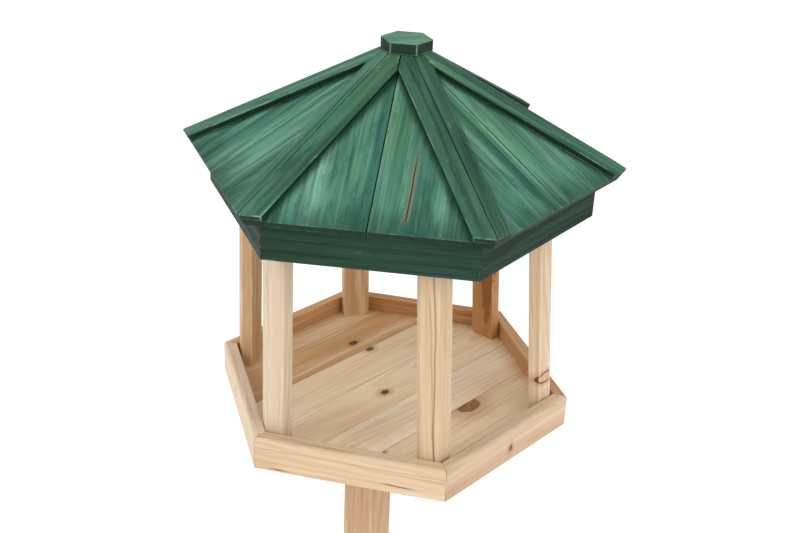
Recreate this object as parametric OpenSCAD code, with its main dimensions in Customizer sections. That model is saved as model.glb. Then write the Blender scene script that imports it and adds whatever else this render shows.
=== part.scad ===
// Hexagonal bird feeder on a round pole: green boarded roof, six posts, railed tray, crossed feet.
// Origin on the ground below the centre of the tray, +Z up, the front rail of the tray faces -Y.

/* [Overall] */
// Height from the ground to the top of the roof cap
total_h = 1100; // [700:10:1600]
// Distance from the centre of the tray to its outer corners
tray_r = 145; // [110:1:220]

/* [Tray] */
// Height of the tray rails
rail_h = 27; // [20:0.5:50]
// Thickness of the tray rails
rail_t = 10; // [6:0.5:18]
// Rounding of the outer top edge of the rails
rail_round = 3; // [0.5:0.5:5]
// Drop from the top of the rails to the floor
floor_drop = 14.5; // [8:0.5:18]
// Thickness of the floor planks
plank_t = 8; // [5:0.5:15]
// Share of a plank by which the nearest plank joint stands off the tray centre
plank_share = 0.36; // [0.2:0.01:0.6]
// Open joint between two floor planks
plank_gap = 0.5; // [0.2:0.1:2]
// Width of the two cleats below the floor
cleat_w = 32; // [20:1:50]
// Thickness of the cleats
cleat_t = 12; // [8:0.5:20]
// Distance from the tray centre to the middle of each cleat
cleat_out = 45; // [30:1:55]
// Distance by which the ends of the cleats stop short of the rails
cleat_end = 8; // [4:1:20]

/* [Posts] */
// Width of a post across its inner face
post_w = 23; // [16:0.5:34]
// Depth of a post before its outer side turns to a point
post_side = 9; // [6:0.5:20]
// Lean of each post towards the centre
post_lean = 3.1; // [0:0.1:4]
// Lean of all the posts together towards -X
post_sway = 1.7; // [0:0.1:2]
// Turn of the posts about the tray centre, clockwise from above
post_yaw = 0.8; // [0:0.1:1]
// Height of the post tops above the lower edge of the fascia
post_up = 21; // [16:0.5:24]
// Room left between the foot of a post and the nearer rail
post_gap = 0.1; // [0.1:0.1:2]

/* [Roof] */
// Turn of the roof against the tray
roof_turn = 5; // [0:0.5:8]
// Slope of the roof
pitch = 30.4; // [20:0.1:40]
// Clear height between the rails and the lower edge of the fascia
bay_h = 151; // [100:1:240]
// Distance by which the fascia corners stand out past the tray corners
fascia_over = 2; // [0:0.5:12]
// Thickness of the fascia boards
fascia_t = 9; // [6:0.5:14]
// Height of the outer side of the fascia boards
fascia_h = 37.4; // [30:0.2:60]
// Overhang of the roof boards past the fascia, measured level
eave_out = 15.3; // [8:0.1:40]
// Thickness of the roof boards
board_t = 6; // [4:0.5:12]
// Open joint between the two boards of one roof side
board_gap = 0.6; // [0.2:0.1:2]
// Width of the battens along the hips
batten_w = 14; // [10:0.5:24]
// Thickness of the battens
batten_t = 5; // [3:0.5:10]
// Open joint between two battens where they meet
batten_gap = 0.8; // [0.2:0.1:2]
// Distance from the centre to the corners of the roof cap
cap_r = 19; // [14:0.5:30]
// Thickness of the roof cap
cap_t = 8.5; // [6:0.5:20]
// Overhang of the cap past the cut tops of the battens
cap_over = 0.5; // [0:0.1:3]
// Distance by which the cap is nailed off the middle of the roof, towards +X
cap_shift = 2; // [0:0.5:3]
// Distance from the centre to the corners of the block below the ridge
apex_block_r = 42; // [36:1:60]
// Depth of the block below its own top
apex_block_h = 30; // [26:1:50]
// Width of the three battens on the post tops
ceiling_w = 36; // [34:1:44]
// Thickness of the battens on the post tops
ceiling_t = 10; // [6:0.5:14]

/* [Pole and feet] */
// Diameter of the round pole
pole_d = 40; // [30:1:60]
// Distance of the pole from the tray centre, towards -X
pole_shift = 16; // [0:1:20]
// Length of the plate between the pole and the cleats
plate_l = 130; // [110:1:160]
// Width of the plate
plate_w = 90; // [60:1:120]
// Thickness of the plate
plate_t = 12; // [8:0.5:24]
// Length of the crossed foot bars
foot_l = 380; // [300:5:400]
// Width of the foot bars
foot_w = 38; // [30:1:60]
// Height of the foot bars
foot_h = 28; // [20:1:50]
// Height of the braces above the foot bars
brace_rise = 110; // [80:1:160]
// Width of the braces
brace_w = 18; // [12:1:28]
// Depth of the braces across their slope
brace_d = 24; // [16:1:36]
// Clearance of the half-lap joint
lap_gap = 0.2; // [0.1:0.1:1]

/* [Fixings] */
// Shank diameter of the nails
nail_d = 1.5; // [1:0.1:2.5]
// Head diameter of the nails
nail_head = 3; // [2.5:0.1:5]
// Shank diameter of the wood screws
screw_d = 3.5; // [3:0.1:5]
// Head diameter of the wood screws
screw_head = 7; // [6:0.1:10]
// Shank diameter of the two pole screws
bolt_d = 6; // [5:0.5:10]
// Head diameter of the two pole screws
bolt_head = 12; // [10:0.5:18]

/* [Hidden] */
$fn = 32;
far = 600;
half = 30;

// Colours
green_top = [0.30, 0.50, 0.41];
green_side = [0.12, 0.26, 0.19];
fir = [0.83, 0.70, 0.53];
fir_rail = [0.78, 0.62, 0.43];
zinc = [0.72, 0.73, 0.75];

// Sizes that follow from others
fascia_r = tray_r + fascia_over;
post_rise = bay_h + post_up;

// Distances from the axis to the middle of a side
tray_a = tray_r * cos(half);
tray_in_a = tray_a - rail_t;
tray_in_r = tray_in_a / cos(half);
fascia_a = fascia_r * cos(half);
fascia_in_a = fascia_a - fascia_t;
eave_a = fascia_a + eave_out;

// Roof heights above the top of the rails: ridges of the board, batten and soffit planes
board_apex = bay_h + fascia_h + board_t / cos(pitch) + fascia_a * tan(pitch);
batten_apex = board_apex + batten_t / cos(pitch);
soffit_apex = board_apex - board_t / cos(pitch);
cap_seat = batten_apex - (cap_r - cap_over) * cos(half) * tan(pitch);

// Heights above the ground
rail_top = total_h - cap_seat - cap_t;
floor_top = rail_top - floor_drop;
floor_bottom = floor_top - plank_t;
cleat_bottom = floor_bottom - cleat_t;
pole_top = cleat_bottom - plate_t;
post_top = rail_top + post_rise;
seat_z = rail_top + cap_seat;

// Roof slopes in their own plane: x runs down the slope from the ridge point, z points out
eave_s = eave_a / cos(pitch);
hip_turn = atan(tan(half) * cos(pitch));
batten_start = -batten_t * tan(pitch);
fascia_s = (fascia_a - fascia_t / 2) / cos(pitch);
function batten_edge(s, w) = (s - batten_start) * tan(hip_turn) - w / cos(hip_turn);

// Post section and the distance of its foot
post_point = post_w / 2 * tan(half);
post_r = tray_in_r - (post_gap + tray_in_r * sin(post_yaw) * sin(half)) / cos(half);
post_mid = post_point + post_side / 2;
post_top_r = post_r - (post_top - floor_top) * tan(post_lean);
post_top_x = (floor_top - post_top) * tan(post_sway);

// The middle ceiling batten reaches two opposite corners, the outer two lie over the other posts
ceiling_step = (post_top_r - post_mid) * cos(half);
ceiling_end = ceiling_step / cos(half) - fascia_in_a * tan(half);

// Floor planks: a sixth of the floor each, the first one wider and the last one narrower
plank_w = tray_in_a / 3;
plank_offset = plank_share * plank_w;
cleat_half = tray_in_a - cleat_end;

// Fixings
nail_l = 22;
brad_l = 10.5;
screw_l = 30;
cleat_screw_l = cleat_t + plank_t - 2;
plate_screw_l = plate_t + cleat_t - 2;
brace_screw_l = 36;
pole_screw_l = plate_t + 60;
foot_screw_l = foot_h + 50;
screw_sink = 1;
top_nail_s = (apex_block_r * cos(half) - 5) / cos(pitch);
seam_nail = 6;
plank_turn = 60;
foot_turn = 45;

// ---- Placing
module turned_roof() { translate([0, 0, rail_top]) rotate([0, 0, roof_turn]) children(); }
module side_frame(i) { rotate([0, 0, 60 * i - 90]) children(); }
module slope_frame(i) {
    turned_roof() side_frame(i) translate([0, 0, board_apex]) rotate([0, pitch, 0]) children();
}
function corner_turn(i) = 60 * i - 60 - post_yaw;
module corner_frame(i) { rotate([0, 0, corner_turn(i)]) children(); }
module plank_frame() { rotate([0, 0, plank_turn]) children(); }
module pole_frame() { translate([-pole_shift, 0, 0]) children(); }
module foot_frame(i) { pole_frame() rotate([0, 0, foot_turn + 90 * i]) children(); }

// ---- Plan wedges that mitre the boards
module half_wedge(seam, hip) {
    start = (seam + hip / cos(half)) / tan(half);
    polygon([[start, seam], [far, seam], [far, far * tan(half) - hip / cos(half)]]);
}
module wedge_cut(seam, hip, side, low, high) {
    translate([0, 0, low]) linear_extrude(high - low)
        mirror([0, side < 0 ? 1 : 0]) half_wedge(seam, hip);
}
module side_wedge(low, high) {
    translate([0, 0, low]) linear_extrude(high - low)
        polygon([[0, 0], [far, -far * tan(half)], [far, far * tan(half)]]);
}
module hexagon(a) { circle(r = a / cos(half), $fn = 6); }

// ---- Fixing shapes, driven along -Z from a head at the origin
module nail(length) {
    translate([0, 0, -length]) cylinder(d = nail_d, h = length);
    translate([0, 0, -0.8]) cylinder(d = nail_head, h = 0.8);
}
module screw(length, shank, head) {
    sink = (head - shank) / 2;
    translate([0, 0, -length]) cylinder(d = shank, h = length);
    translate([0, 0, -sink]) cylinder(d1 = shank, d2 = head, h = sink);
}
module wood_screw(length) { screw(length, screw_d, screw_head); }
module pole_screw(length) { screw(length, bolt_d, bolt_head); }

// ---- Roof
module batten_nails(i, side) {
    for (s = [top_nail_s, fascia_s])
        slope_frame(i) translate([s, side * batten_edge(s, batten_w / 2), batten_t]) nail(nail_l);
}
module seam_nail_at(i, side) {
    slope_frame(i) translate([fascia_s, side * seam_nail, 0]) nail(nail_l);
}
module roof_board(i, side) {
    color(green_top) difference() {
        intersection() {
            slope_frame(i) translate([-far, -far, -board_t]) cube([far + eave_s, 2 * far, board_t]);
            turned_roof() side_frame(i) wedge_cut(board_gap / 2, 0.1, side, 0, cap_seat);
        }
        batten_nails(i, side);
        seam_nail_at(i, side);
    }
}
module hip_batten(i, side) {
    difference() {
        intersection() {
            slope_frame(i) linear_extrude(batten_t) mirror([0, side < 0 ? 1 : 0]) polygon([
                [-batten_w, batten_edge(-batten_w, batten_w)],
                [eave_s, batten_edge(eave_s, batten_w)],
                [eave_s, far],
                [-batten_w, far]
            ]);
            turned_roof() side_frame(i) wedge_cut(batten_gap / 2, 0.1, side, 0, cap_seat);
        }
        batten_nails(i, side);
    }
}
module hip_batten_pair(i) {
    color(green_top) {
        hip_batten(i, 1);
        hip_batten((i + 1) % 6, -1);
    }
}
module roof_cap() {
    color(green_top) translate([cap_shift, 0, 0]) turned_roof() translate([0, 0, cap_seat])
        linear_extrude(cap_t) circle(r = cap_r, $fn = 6);
}
module under_slopes() {
    intersection_for (i = [0 : 5])
        slope_frame(i) translate([-far, -far, -board_t - 2 * far]) cube([2 * far, 2 * far, 2 * far]);
}
module apex_block() {
    color(fir) difference() {
        intersection() {
            turned_roof() translate([0, 0, soffit_apex - apex_block_h])
                linear_extrude(apex_block_h) circle(r = apex_block_r, $fn = 6);
            under_slopes();
        }
        for (i = [0 : 5], side = [-1, 1]) batten_nails(i, side);
    }
}
module fascia_board(i) {
    color(green_side) difference() {
        intersection() {
            turned_roof() side_frame(i) translate([fascia_in_a, -far, bay_h])
                cube([fascia_t, 2 * far, far]);
            turned_roof() side_frame(i) side_wedge(0, far);
            slope_frame(i) translate([-far, -far, -board_t - 2 * far]) cube([3 * far, 2 * far, 2 * far]);
        }
        for (side = [-1, 1]) {
            batten_nails(i, side);
            seam_nail_at(i, side);
        }
        ceiling_nails();
    }
}
module ceiling_nails() {
    turned_roof() for (i = [1, 2, 4, 5], t = [8 - ceiling_end, fascia_r / 2 - 17.5])
        side_frame(i) translate([fascia_a, i % 3 == 1 ? t : -t, post_rise + ceiling_t / 2])
        rotate([0, 90, 0]) nail(2 * fascia_t);
}
module ceiling_batten(k) {
    color(fir) difference() {
        intersection() {
            turned_roof() translate([-far, k * ceiling_step - ceiling_w / 2, post_rise])
                cube([2 * far, ceiling_w, ceiling_t]);
            turned_roof() linear_extrude(far) hexagon(fascia_in_a);
        }
        post_top_screws();
        ceiling_nails();
        for (i = [0 : 5], side = [-1, 1]) {
            batten_nails(i, side);
            seam_nail_at(i, side);
        }
    }
}

// ---- Posts
module post_section() {
    polygon([
        [0, 0], [-post_point, post_w / 2], [-post_point - post_side, post_w / 2],
        [-post_point - post_side, -post_w / 2], [-post_point, -post_w / 2]
    ]);
}
module post_top_screws() {
    for (i = [0 : 5]) translate([post_top_x, 0, post_top + ceiling_t]) corner_frame(i)
        translate([post_top_r - post_mid, 0, 0]) wood_screw(screw_l);
}
module post_foot_screws() {
    for (i = [0 : 5]) corner_frame(i)
        translate([post_r - post_mid, 0, floor_bottom]) mirror([0, 0, 1]) wood_screw(screw_l);
}
module post(i) {
    color(fir) difference() {
        intersection() {
            translate([post_r * cos(corner_turn(i)), post_r * sin(corner_turn(i)), floor_top])
                rotate([0, -post_sway, 0]) rotate([0, 0, corner_turn(i)]) rotate([0, -post_lean, 0])
                translate([0, 0, -rail_h]) linear_extrude(far) post_section();
            translate([-far, -far, floor_top]) cube([2 * far, 2 * far, post_top - floor_top]);
        }
        post_top_screws();
        post_foot_screws();
    }
}

// ---- Tray
module rail_section() {
    difference() {
        translate([tray_in_a, 0]) square([rail_t, rail_h]);
        translate([tray_a - rail_round, rail_h - rail_round]) difference() {
            square(rail_round + 1);
            circle(r = rail_round);
        }
    }
}
module mitre_brads(i) {
    for (z = [rail_h / 4, rail_h * 3 / 4]) side_frame(i)
        translate([tray_a, tray_r / 2 - rail_t / 2, rail_top - z]) rotate([0, 90, 0]) nail(brad_l);
}
module floor_brads(i) {
    for (y = [-tray_r / 4, tray_r / 4]) side_frame(i)
        translate([tray_a, y, floor_top - plank_t / 2]) rotate([0, 90, 0]) nail(nail_l);
}
module tray_rail(i) {
    color(fir_rail) difference() {
        intersection() {
            side_frame(i) translate([0, 0, rail_top - rail_h]) rotate([90, 0, 0])
                linear_extrude(2 * far, center = true) rail_section();
            side_frame(i) side_wedge(0, total_h);
        }
        mitre_brads(i);
        mitre_brads((i + 5) % 6);
        floor_brads(i);
    }
}
module plank_strip(k) {
    low = k == 1 ? -far : plank_offset + (k - 4) * plank_w + plank_gap / 2;
    high = k == 6 ? far : plank_offset + (k - 3) * plank_w - plank_gap / 2;
    translate([-far, low]) square([2 * far, high - low]);
}
function plank_low(k) = k == 1 ? -tray_in_a : plank_offset + (k - 4) * plank_w;
function plank_high(k) = k == 6 ? tray_in_a : plank_offset + (k - 3) * plank_w;
function plank_mid(k) = (plank_low(k) + plank_high(k)) / 2;
function cleat_screw_y(k) = max(8 - cleat_half, min(cleat_half - 8, plank_mid(k)));
module cleat_screws(side) {
    for (k = [1 : 6]) plank_frame()
        translate([side * (cleat_out + cleat_w / 4), cleat_screw_y(k), cleat_bottom])
        mirror([0, 0, 1]) wood_screw(cleat_screw_l);
}
module floor_plank(k) {
    color(fir) difference() {
        translate([0, 0, floor_bottom]) linear_extrude(plank_t) intersection() {
            hexagon(tray_in_a);
            plank_frame() plank_strip(k);
        }
        for (side = [-1, 1]) cleat_screws(side);
        post_foot_screws();
        for (i = [0 : 5]) floor_brads(i);
    }
}
module plate_screws() {
    pole_frame() plank_frame() for (u = [-1, 1], v = [-1, 1])
        translate([u * (cleat_out - cleat_w / 4) - pole_to_plank()[0], v * plate_w / 3, pole_top])
        mirror([0, 0, 1]) wood_screw(plate_screw_l);
}
function pole_to_plank() = [-pole_shift * cos(plank_turn), pole_shift * sin(plank_turn)];
module floor_cleat(side) {
    color(fir) difference() {
        plank_frame() translate([side * cleat_out - cleat_w / 2, -cleat_half, cleat_bottom])
            cube([cleat_w, 2 * cleat_half, cleat_t]);
        cleat_screws(side);
        plate_screws();
    }
}
module pole_plate() {
    color(fir) difference() {
        pole_frame() plank_frame() translate([-plate_l / 2, -plate_w / 2, pole_top])
            cube([plate_l, plate_w, plate_t]);
        plate_screws();
        pole_top_screw();
    }
}

// ---- Pole and feet
module pole_top_screw() {
    pole_frame() translate([0, 0, pole_top + plate_t]) pole_screw(pole_screw_l);
}
module pole_foot_screw() {
    pole_frame() translate([0, 0, screw_sink]) mirror([0, 0, 1]) pole_screw(foot_screw_l);
}
module pole() {
    color(fir) difference() {
        pole_frame() translate([0, 0, foot_h]) cylinder(d = pole_d, h = pole_top - foot_h, $fn = 64);
        pole_top_screw();
        pole_foot_screw();
        for (i = [0 : 3]) brace_screws(i);
    }
}
module foot_bar(k) {
    color(fir) difference() {
        foot_frame(k) translate([-foot_l / 2, -foot_w / 2, 0]) cube([foot_l, foot_w, foot_h]);
        foot_frame(k) translate([-foot_w / 2 - lap_gap, -foot_w, k == 0 ? foot_h / 2 : -foot_h / 2])
            cube([foot_w + 2 * lap_gap, 2 * foot_w, foot_h]);
        pole_foot_screw();
        pole_frame() translate([0, 0, -1]) cylinder(d = bolt_head, h = screw_sink + 1);
        for (i = [0 : 3]) brace_screws(i);
    }
}
brace_out = pole_d / 2 + brace_rise;
brace_cut = brace_d * sqrt(2);
module brace_screws(i) {
    for (p = [[pole_d / 2 + 10, foot_h + brace_rise - 10], [brace_out - 10, foot_h + 10]])
        foot_frame(i) translate([p[0], 0, p[1]]) rotate([0, 45, 0]) wood_screw(brace_screw_l);
}
module foot_brace(i) {
    color(fir) difference() {
        foot_frame(i) rotate([90, 0, 0]) linear_extrude(brace_w, center = true) polygon([
            [pole_d / 4, foot_h + brace_rise + pole_d / 4],
            [pole_d / 4, foot_h + brace_rise + pole_d / 4 - brace_cut],
            [brace_out - brace_cut, foot_h],
            [brace_out, foot_h]
        ]);
        pole_frame() cylinder(d = pole_d, h = total_h, $fn = 64);
        brace_screws(i);
    }
}

// ---- Fixings, one group of loose pieces for each part of the feeder
module roof_fixings() {
    color(zinc) {
        for (i = [0 : 5], side = [-1, 1]) {
            batten_nails(i, side);
            seam_nail_at(i, side);
        }
        ceiling_nails();
        post_top_screws();
    }
}
module tray_fixings() {
    color(zinc) {
        post_foot_screws();
        for (i = [0 : 5]) {
            mitre_brads(i);
            floor_brads(i);
        }
        for (side = [-1, 1]) cleat_screws(side);
        plate_screws();
        pole_top_screw();
    }
}
module base_fixings() {
    color(zinc) {
        pole_foot_screw();
        for (i = [0 : 3]) brace_screws(i);
    }
}

roof_cap();
apex_block();
for (i = [0 : 5]) {
    roof_board(i, -1);
    roof_board(i, 1);
    hip_batten_pair(i);
    fascia_board(i);
    post(i);
    tray_rail(i);
    floor_plank(i + 1);
}
for (k = [-1 : 1])
    ceiling_batten(k);
floor_cleat(-1);  // floor_cleat_1
floor_cleat(1);  // floor_cleat_2
pole_plate();
pole();
foot_bar(0);  // foot_bar_1
foot_bar(1);  // foot_bar_2
for (i = [0 : 3])
    foot_brace(i);
roof_fixings();
tray_fixings();
base_fixings();
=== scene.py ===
import bpy
import bmesh
from math import radians, sin, cos, tan, atan, pi
from mathutils import Matrix, Vector


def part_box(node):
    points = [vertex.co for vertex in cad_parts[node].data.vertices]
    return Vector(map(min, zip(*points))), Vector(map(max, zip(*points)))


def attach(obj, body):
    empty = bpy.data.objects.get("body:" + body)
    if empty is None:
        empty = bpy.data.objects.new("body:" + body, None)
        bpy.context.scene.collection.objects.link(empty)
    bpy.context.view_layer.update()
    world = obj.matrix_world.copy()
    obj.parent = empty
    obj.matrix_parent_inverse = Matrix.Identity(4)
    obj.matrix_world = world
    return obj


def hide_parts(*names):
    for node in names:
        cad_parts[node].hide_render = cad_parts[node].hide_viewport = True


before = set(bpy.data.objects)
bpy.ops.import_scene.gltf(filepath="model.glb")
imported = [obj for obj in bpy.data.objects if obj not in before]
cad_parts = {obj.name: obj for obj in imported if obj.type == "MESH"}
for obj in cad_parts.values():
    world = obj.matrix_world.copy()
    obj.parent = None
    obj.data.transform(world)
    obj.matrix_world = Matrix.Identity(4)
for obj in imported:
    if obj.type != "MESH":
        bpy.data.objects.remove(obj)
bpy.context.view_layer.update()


# ---- Studio: a pale floor under the feet, a white surround and large soft lamps.
# The camera looks down on the tray from a little to the right of its front rail.
def linear(code):
    """An sRGB hex colour as linear red, green, blue and one."""
    parts = [int(code[i:i + 2], 16) / 255 for i in (1, 3, 5)]
    return [c / 12.92 if c <= 0.04045 else ((c + 0.055) / 1.055) ** 2.4 for c in parts] + [1.0]


def add_node(tree, kind, settings=None, inputs=None):
    """A node with its settings, and its inputs given as values or as sockets to link from. In a
    mix of two colours, input 0 is the share, 6 and 7 are the colours, and output 2 is the mix."""
    made = tree.nodes.new(kind)
    for key, value in (settings or {}).items():
        setattr(made, key, value)
    for key, value in (inputs or {}).items():
        if isinstance(value, bpy.types.NodeSocket):
            tree.links.new(value, made.inputs[key])
        else:
            made.inputs[key].default_value = value
    return made


rail_low, rail_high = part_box("tray_rail_1")
rail_top = rail_high[2]
turn, tilt, roll = radians(12.37), radians(26.38), radians(2.51)
back = Vector((sin(turn) * cos(tilt), -cos(turn) * cos(tilt), sin(tilt)))
right = Vector((cos(turn), sin(turn), 0))
up = back.cross(right)
aim_above_rails, aim_to_right, camera_away = 0.0927, 0.0041, 0.8847
aim = Vector((0, 0, rail_top + aim_above_rails)) + right * aim_to_right
camera = bpy.data.objects.new("camera", bpy.data.cameras.new("camera"))
bpy.context.scene.collection.objects.link(camera)
camera.data.lens = 50.83
camera.data.sensor_width = 36
camera.data.clip_start = 0.02
axes = (right * cos(roll) + up * sin(roll), up * cos(roll) - right * sin(roll), back)
camera.matrix_world = Matrix.Translation(aim + back * camera_away) @ Matrix(axes).transposed().to_4x4()
bpy.context.scene.camera = camera

world = bpy.data.worlds.new("studio")
bpy.context.scene.world = world
world.use_nodes = True
world.node_tree.nodes["Background"].inputs["Color"].default_value = (1, 1, 1, 1)
world.node_tree.nodes["Background"].inputs["Strength"].default_value = 0.78
bpy.context.scene.view_settings.view_transform = "Standard"

for label, spot, size, power in (
    ("key", (-1.6, -1.5, 2.4), 1.4, 20),
    ("fill", (2.0, -1.2, 2.0), 1.6, 14),
):
    lamp = bpy.data.objects.new(label, bpy.data.lights.new(label, "AREA"))
    lamp.data.size = size
    lamp.data.energy = power
    lamp.location = spot
    lamp.rotation_euler = (Vector((0, 0, 0.9)) - Vector(spot)).to_track_quat("-Z", "Y").to_euler()
    bpy.context.scene.collection.objects.link(lamp)

paper = bpy.data.materials.new("white_studio_paper")
paper.use_nodes = True
paper_shader = paper.node_tree.nodes["Principled BSDF"]
paper_shader.inputs["Base Color"].default_value = linear("#fbfbfa")
paper_shader.inputs["Roughness"].default_value = 0.9
paper_shader.inputs["Emission Color"].default_value = (1, 1, 1, 1)
paper_shader.inputs["Emission Strength"].default_value = 0.3
sheet = bmesh.new()
bmesh.ops.create_circle(sheet, cap_ends=True, segments=64, radius=9.0)
floor_mesh = bpy.data.meshes.new("floor")
sheet.to_mesh(floor_mesh)
floor = bpy.data.objects.new("floor", floor_mesh)
floor_mesh.materials.append(paper)
bpy.context.scene.collection.objects.link(floor)


# ---- Roof boards: twelve thin sawn fir boards, two to each side, nailed up the slope.
# They are dipped in a thin green stain that sinks unevenly and leaves the grain showing.
def streaks(tree, place, along, across, detail=3.0, rough=0.55):
    """Noise drawn out along the grain: so many waves a metre along it and across it."""
    stretched = add_node(tree, "ShaderNodeMapping", None, {
        "Vector": place, "Scale": (along, across, across),
    }).outputs["Vector"]
    return add_node(tree, "ShaderNodeTexNoise", None, {
        "Vector": stretched, "Scale": 1.0, "Detail": detail, "Roughness": rough,
    }).outputs["Fac"]


def both_ways(tree, noise, wide):
    """A noise made to swing about nought, so wide from end to end."""
    centred = add_node(tree, "ShaderNodeMath", {"operation": "SUBTRACT"}, {0: noise, 1: 0.5}).outputs["Value"]
    return add_node(tree, "ShaderNodeMath", {"operation": "MULTIPLY"}, {
        0: centred, 1: wide,
    }).outputs["Value"]


def own_share(tree, own, step):
    """A share between nought and one that differs from stick to stick."""
    grown = add_node(tree, "ShaderNodeMath", {"operation": "MULTIPLY"}, {0: own, 1: step}).outputs["Value"]
    return add_node(tree, "ShaderNodeMath", {"operation": "FRACT"}, {0: grown}).outputs["Value"]


def laid_over(tree, colour, pattern, start, full, share, tone, mode="MIX"):
    """The colour with a tone laid over it where a pattern is strong: none of it at the first
    limit, and the given share of it at the second."""
    strength = add_node(tree, "ShaderNodeMapRange", {"interpolation_type": "SMOOTHSTEP"}, {
        "Value": pattern, "From Min": start, "From Max": full, "To Max": share,
    }).outputs["Result"]
    return add_node(tree, "ShaderNodeMix", {"data_type": "RGBA", "blend_type": mode}, {
        0: strength, 6: colour, 7: tone,
    }).outputs[2]


def grain_place(tree):
    """Where a point lies in its stick, along X and across it, moved off by the stick's own number."""
    here = add_node(tree, "ShaderNodeAttribute", {"attribute_name": "grain"}).outputs["Vector"]
    own = add_node(tree, "ShaderNodeAttribute", {"attribute_name": "stick"}).outputs["Fac"]
    away = add_node(tree, "ShaderNodeVectorMath", {"operation": "SCALE"}, {
        0: (7.31, 3.77, 5.13), "Scale": own,
    }).outputs["Vector"]
    return here, own, add_node(tree, "ShaderNodeVectorMath", {"operation": "ADD"}, {
        0: here, 1: away,
    }).outputs["Vector"]


def year_rings(tree, here, place, own, ring, waviness, push=None):
    """Year rings round a heart that lies off the stick and drifts along it: 0 in the early wood,
    1 in the late wood, fading in and out along the stick."""
    one = own_share(tree, own, 3.7)
    two = own_share(tree, own, 7.3)
    spot = add_node(tree, "ShaderNodeSeparateXYZ", None, {"Vector": here}).outputs
    drift = add_node(tree, "ShaderNodeMath", {"operation": "MULTIPLY"}, {
        0: spot["X"], 1: 0.05,
    }).outputs["Value"]
    heart = add_node(tree, "ShaderNodeCombineXYZ", None, {
        "Y": add_node(tree, "ShaderNodeMath", {"operation": "SUBTRACT"}, {
            0: spot["Y"], 1: both_ways(tree, one, 0.06),
        }).outputs["Value"],
        "Z": add_node(tree, "ShaderNodeMath", {"operation": "ADD"}, {
            0: add_node(tree, "ShaderNodeMath", {"operation": "SUBTRACT"}, {
                0: spot["Z"], 1: drift,
            }).outputs["Value"],
            1: add_node(tree, "ShaderNodeMath", {"operation": "ADD"}, {
                0: add_node(tree, "ShaderNodeMath", {"operation": "MULTIPLY"}, {
                    0: two, 1: 0.03,
                }).outputs["Value"],
                1: 0.016,
            }).outputs["Value"],
        }).outputs["Value"],
    }).outputs["Vector"]
    reach = add_node(tree, "ShaderNodeVectorMath", {"operation": "LENGTH"}, {0: heart}).outputs["Value"]
    sway = both_ways(tree, streaks(tree, place, 6, 30, 3.0), waviness)
    reach = add_node(tree, "ShaderNodeMath", {"operation": "ADD"}, {0: reach, 1: sway}).outputs["Value"]
    if push is not None:
        reach = add_node(tree, "ShaderNodeMath", {"operation": "ADD"}, {0: reach, 1: push}).outputs["Value"]
    phase = add_node(tree, "ShaderNodeMath", {"operation": "FRACT"}, {
        0: add_node(tree, "ShaderNodeMath", {"operation": "DIVIDE"}, {0: reach, 1: ring}).outputs["Value"],
    }).outputs["Value"]
    rise = add_node(tree, "ShaderNodeMapRange", {"interpolation_type": "SMOOTHSTEP"}, {
        "Value": phase, "From Min": 0.15, "From Max": 0.88,
    }).outputs["Result"]
    fall = add_node(tree, "ShaderNodeMapRange", {"interpolation_type": "SMOOTHSTEP"}, {
        "Value": phase, "From Min": 0.88, "From Max": 1.0,
    }).outputs["Result"]
    fade = add_node(tree, "ShaderNodeMapRange", {"interpolation_type": "SMOOTHSTEP"}, {
        "Value": streaks(tree, place, 4, 55, 2.0), "From Min": 0.38, "From Max": 0.62, "To Min": 0.15,
        "To Max": 1.0,
    }).outputs["Result"]
    return add_node(tree, "ShaderNodeMath", {"operation": "MULTIPLY"}, {
        0: add_node(tree, "ShaderNodeMath", {"operation": "SUBTRACT"}, {0: rise, 1: fall}).outputs["Value"],
        1: fade,
    }).outputs["Value"]


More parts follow.
